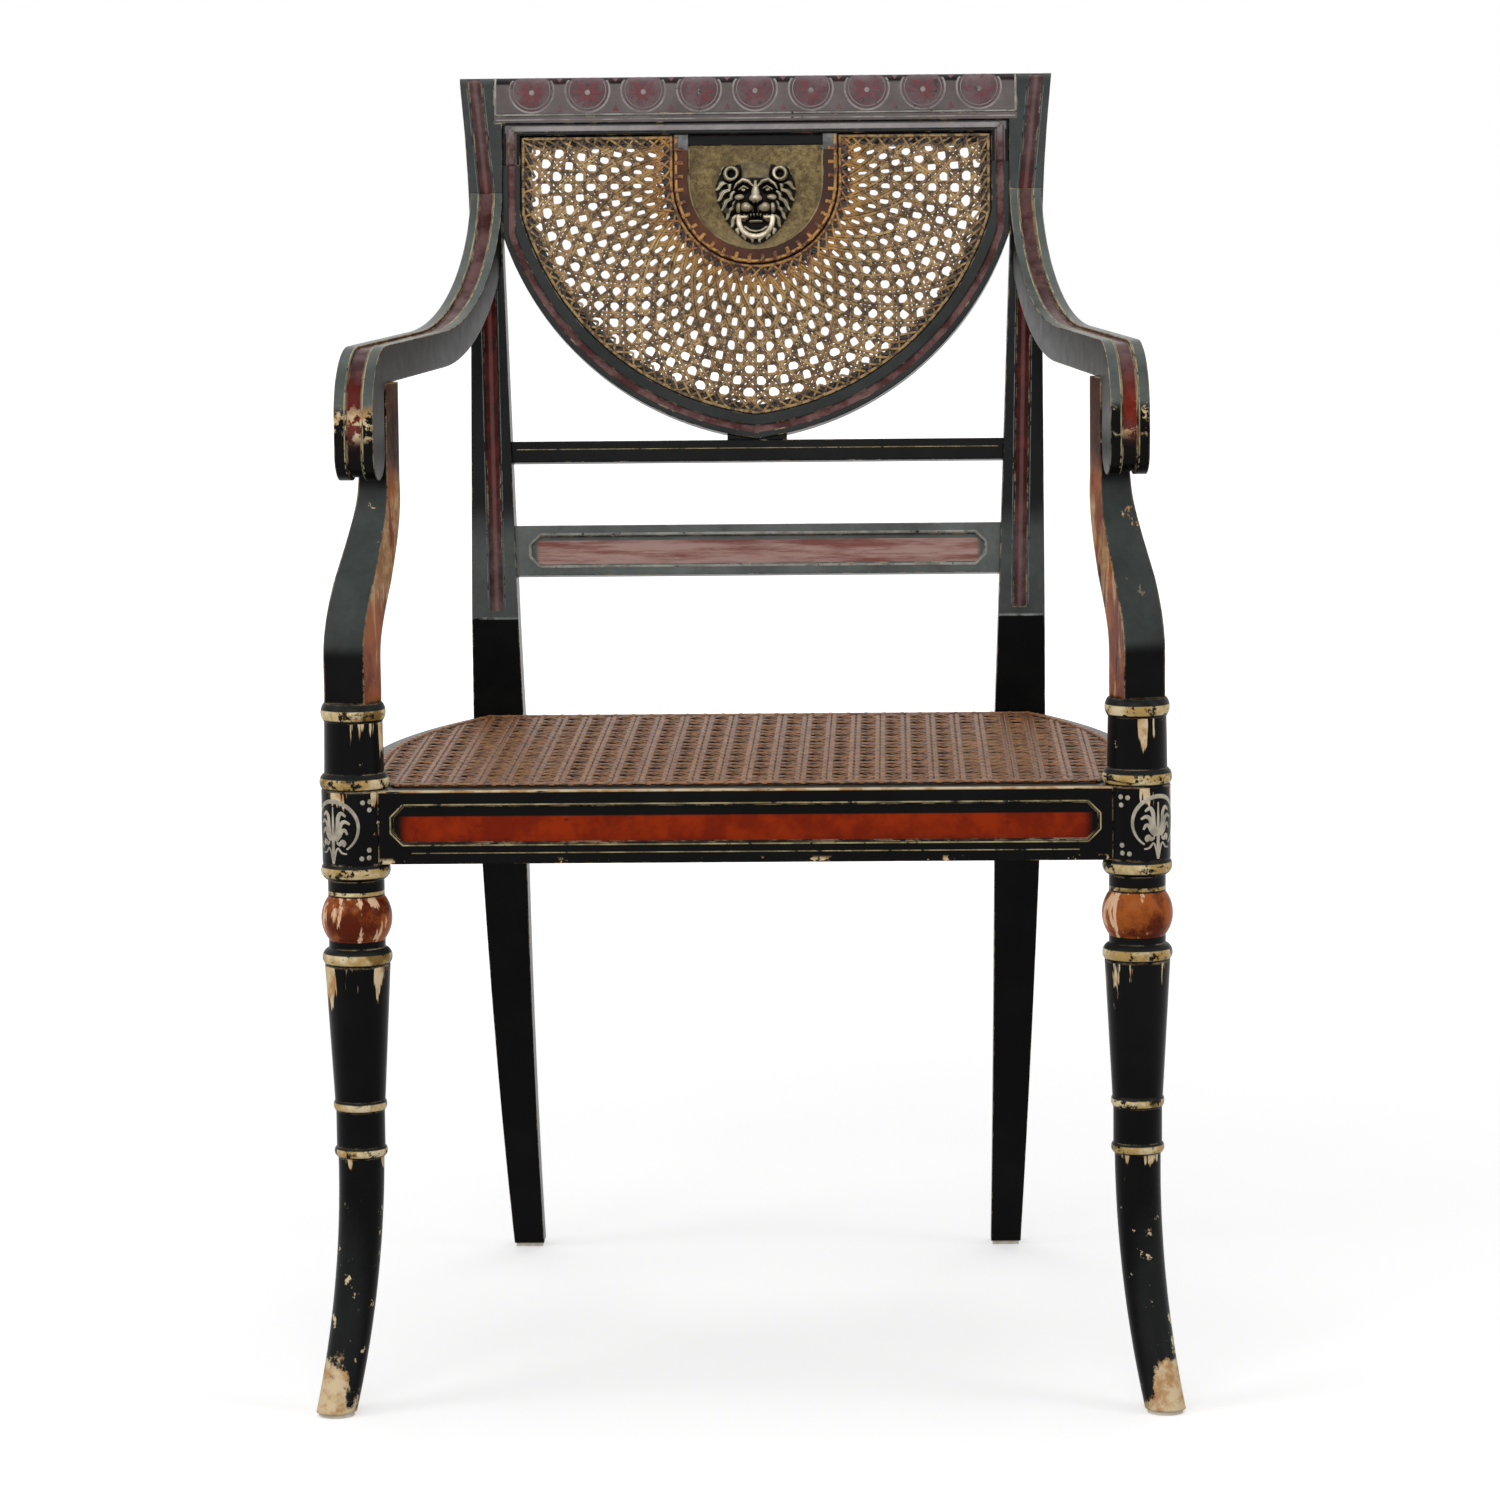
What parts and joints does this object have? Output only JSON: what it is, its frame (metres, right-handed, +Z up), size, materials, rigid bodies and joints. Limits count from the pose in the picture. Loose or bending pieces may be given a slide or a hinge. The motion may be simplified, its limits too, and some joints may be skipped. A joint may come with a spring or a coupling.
{
  "type": "cane armchair",
  "caption": "Black painted armchair with turned front legs, scrolled arms, a caned seat, a caned demi-lune back panel and a brass lion mask with a swinging ring",
  "frame": {"origin": "on the floor, at the middle of the chair's width and depth", "axes": "+Z up, the front faces -Y, +X is to the right as seen from the front"},
  "size_m": [0.5842, 0.5666, 0.891],
  "materials": {
    "black_paint": "black paint, worn, with gilt lines",
    "red_paint": "dark red paint, worn",
    "plaque_gilt": "dull olive gilding",
    "brass": "aged, dark in the hollows",
    "back_cane": "natural cane",
    "seat_cane": "darkened cane",
    "bare_wood": "unpainted",
    "steel": "dull",
    "felt": "pale felt"
  },
  "bodies": {
    "chair": {"front_leg_left": "black_paint", "front_leg_right": "black_paint", "back_post_left": "black_paint", "back_post_right": "black_paint", "crest_rail": "black_paint", "panel_head": "black_paint", "panel_bow": "black_paint", "bow_dowels": "bare_wood", "panel_dowels": "bare_wood", "shield_frame": "red_paint", "plaque_board": "plaque_gilt", "lion_mask": "brass", "mask_pins": "brass", "back_cane": "back_cane", "back_binder": "back_cane", "shield_binder": "back_cane", "cross_bar": "black_paint", "bow_saddle": "black_paint", "lower_back_rail": "black_paint", "seat_front_rail": "black_paint", "seat_back_rail": "black_paint", "seat_side_rail_left": "black_paint", "seat_side_rail_right": "black_paint", "seat_cane": "seat_cane", "seat_binder": "seat_cane", "block_front_left": "bare_wood", "block_front_right": "bare_wood", "block_rear_left": "bare_wood", "block_rear_right": "bare_wood", "block_screws": "steel", "arm_left": "black_paint", "arm_right": "black_paint", "arm_support_left": "black_paint", "arm_support_right": "black_paint", "support_dowels": "bare_wood", "arm_dowels": "bare_wood", "arm_screws": "steel", "foot_pads": "felt"},
    "ring": {"lion_ring": "brass"}
  },
  "joints": [
    {"name": "ring_swing", "type": "hinge", "parent": "chair", "child": "ring", "pos_m": [0, 0.20473, 0.7876], "axis": [-1, 0, 0], "range_deg": [0, 90]}
  ]
}
